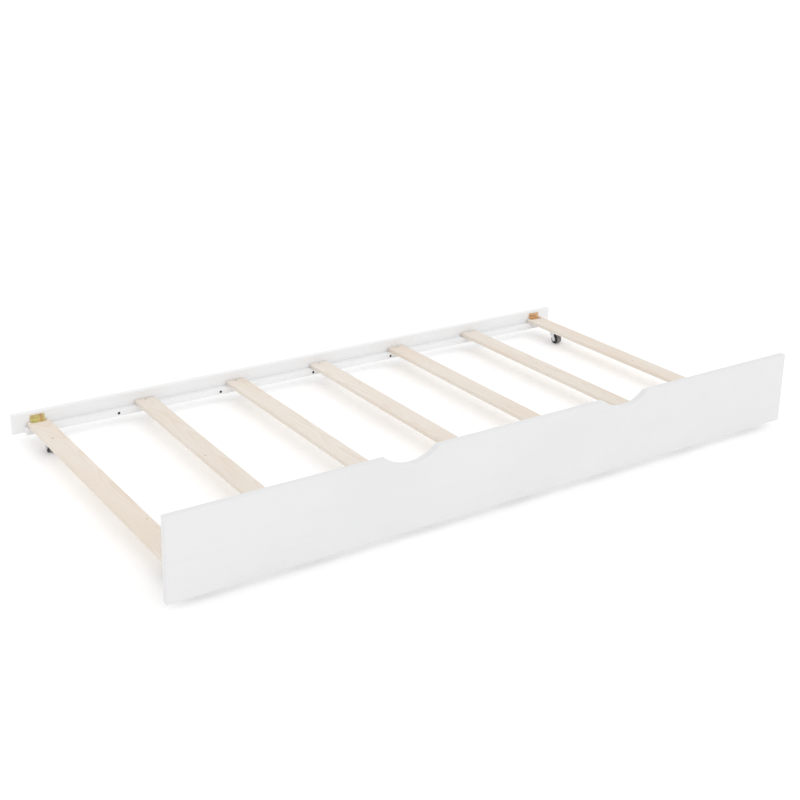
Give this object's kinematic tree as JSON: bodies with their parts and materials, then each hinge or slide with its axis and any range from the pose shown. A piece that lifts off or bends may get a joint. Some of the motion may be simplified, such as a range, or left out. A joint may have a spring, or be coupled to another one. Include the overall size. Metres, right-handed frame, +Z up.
{
  "type": "trundle bed",
  "caption": "Low pull-out trundle bed: a front panel with two arched hand pulls, a slatted base, a low rear rail and swivel casters.",
  "frame": {"origin": "middle of the bed's footprint, on the floor under the wheels", "axes": "+X along the front panel, -Y out of the panel's face (the way the bed is pulled out), +Z up"},
  "size_m": [1.892, 1.017, 0.218],
  "materials": {
    "painted_panel": "white satin paint on smooth fibreboard",
    "painted_rail": "white satin paint on softwood",
    "pine": "planed pine, unfinished",
    "yellow_zinc": "yellow-passivated zinc on steel",
    "zinc_plate": "bright zinc plate",
    "bearing_steel": "polished steel, lightly greased",
    "zinc_screws": "zinc-plated steel",
    "black_screws": "black phosphate on steel",
    "wheel_hub": "moulded dark grey plastic",
    "wheel_tyre": "hard black rubber"
  },
  "bodies": {
    "frame": {"front_panel": "painted_panel", "front_cleat": "painted_rail", "rear_rail": "painted_rail", "rear_cleat": "painted_rail", "slat_1": "pine", "slat_2": "pine", "slat_3": "pine", "slat_4": "pine", "slat_5": "pine", "slat_6": "pine", "slat_7": "pine", "front_cleat_screws": "black_screws", "rear_cleat_screws": "black_screws", "front_slat_screws": "zinc_screws", "rear_slat_screws": "zinc_screws", "rear_left_bracket": "yellow_zinc", "rear_left_bracket_screws": "yellow_zinc", "rear_left_plate": "zinc_plate", "rear_left_plate_screws": "zinc_screws", "rear_left_kingpin": "zinc_plate", "rear_right_bracket": "yellow_zinc", "rear_right_bracket_screws": "yellow_zinc", "rear_right_plate": "zinc_plate", "rear_right_plate_screws": "zinc_screws", "rear_right_kingpin": "zinc_plate", "front_left_bracket": "yellow_zinc", "front_left_bracket_screws": "yellow_zinc", "front_left_plate": "zinc_plate", "front_left_plate_screws": "zinc_screws", "front_left_kingpin": "zinc_plate", "front_right_bracket": "yellow_zinc", "front_right_bracket_screws": "yellow_zinc", "front_right_plate": "zinc_plate", "front_right_plate_screws": "zinc_screws", "front_right_kingpin": "zinc_plate"},
    "rear_left_swivel": {"rear_left_fork": "zinc_plate", "rear_left_axle": "zinc_plate", "rear_left_balls": "bearing_steel"},
    "rear_left_wheel": {"rear_left_hub": "wheel_hub", "rear_left_tyre": "wheel_tyre"},
    "rear_right_swivel": {"rear_right_fork": "zinc_plate", "rear_right_axle": "zinc_plate", "rear_right_balls": "bearing_steel"},
    "rear_right_wheel": {"rear_right_hub": "wheel_hub", "rear_right_tyre": "wheel_tyre"},
    "front_left_swivel": {"front_left_fork": "zinc_plate", "front_left_axle": "zinc_plate", "front_left_balls": "bearing_steel"},
    "front_left_wheel": {"front_left_hub": "wheel_hub", "front_left_tyre": "wheel_tyre"},
    "front_right_swivel": {"front_right_fork": "zinc_plate", "front_right_axle": "zinc_plate", "front_right_balls": "bearing_steel"},
    "front_right_wheel": {"front_right_hub": "wheel_hub", "front_right_tyre": "wheel_tyre"}
  },
  "joints": [
    {"name": "rear_left_turn", "type": "hinge", "parent": "frame", "child": "rear_left_swivel", "pos_m": [-0.87, 0.38, 0.0375], "axis": [0, 0, 1], "continuous": true},
    {"name": "rear_left_roll", "type": "hinge", "parent": "rear_left_swivel", "child": "rear_left_wheel", "pos_m": [-0.87, 0.392, 0.016], "axis": [1, 0, 0], "continuous": true},
    {"name": "rear_right_turn", "type": "hinge", "parent": "frame", "child": "rear_right_swivel", "pos_m": [0.87, 0.38, 0.0375], "axis": [0, 0, 1], "continuous": true},
    {"name": "rear_right_roll", "type": "hinge", "parent": "rear_right_swivel", "child": "rear_right_wheel", "pos_m": [0.87, 0.368, 0.016], "axis": [1, 0, 0], "continuous": true},
    {"name": "front_left_turn", "type": "hinge", "parent": "frame", "child": "front_left_swivel", "pos_m": [-0.87, -0.38, 0.0375], "axis": [0, 0, 1], "continuous": true},
    {"name": "front_left_roll", "type": "hinge", "parent": "front_left_swivel", "child": "front_left_wheel", "pos_m": [-0.87, -0.368, 0.016], "axis": [1, 0, 0], "continuous": true},
    {"name": "front_right_turn", "type": "hinge", "parent": "frame", "child": "front_right_swivel", "pos_m": [0.87, -0.38, 0.0375], "axis": [0, 0, 1], "continuous": true},
    {"name": "front_right_roll", "type": "hinge", "parent": "front_right_swivel", "child": "front_right_wheel", "pos_m": [0.87, -0.392, 0.016], "axis": [1, 0, 0], "continuous": true}
  ]
}
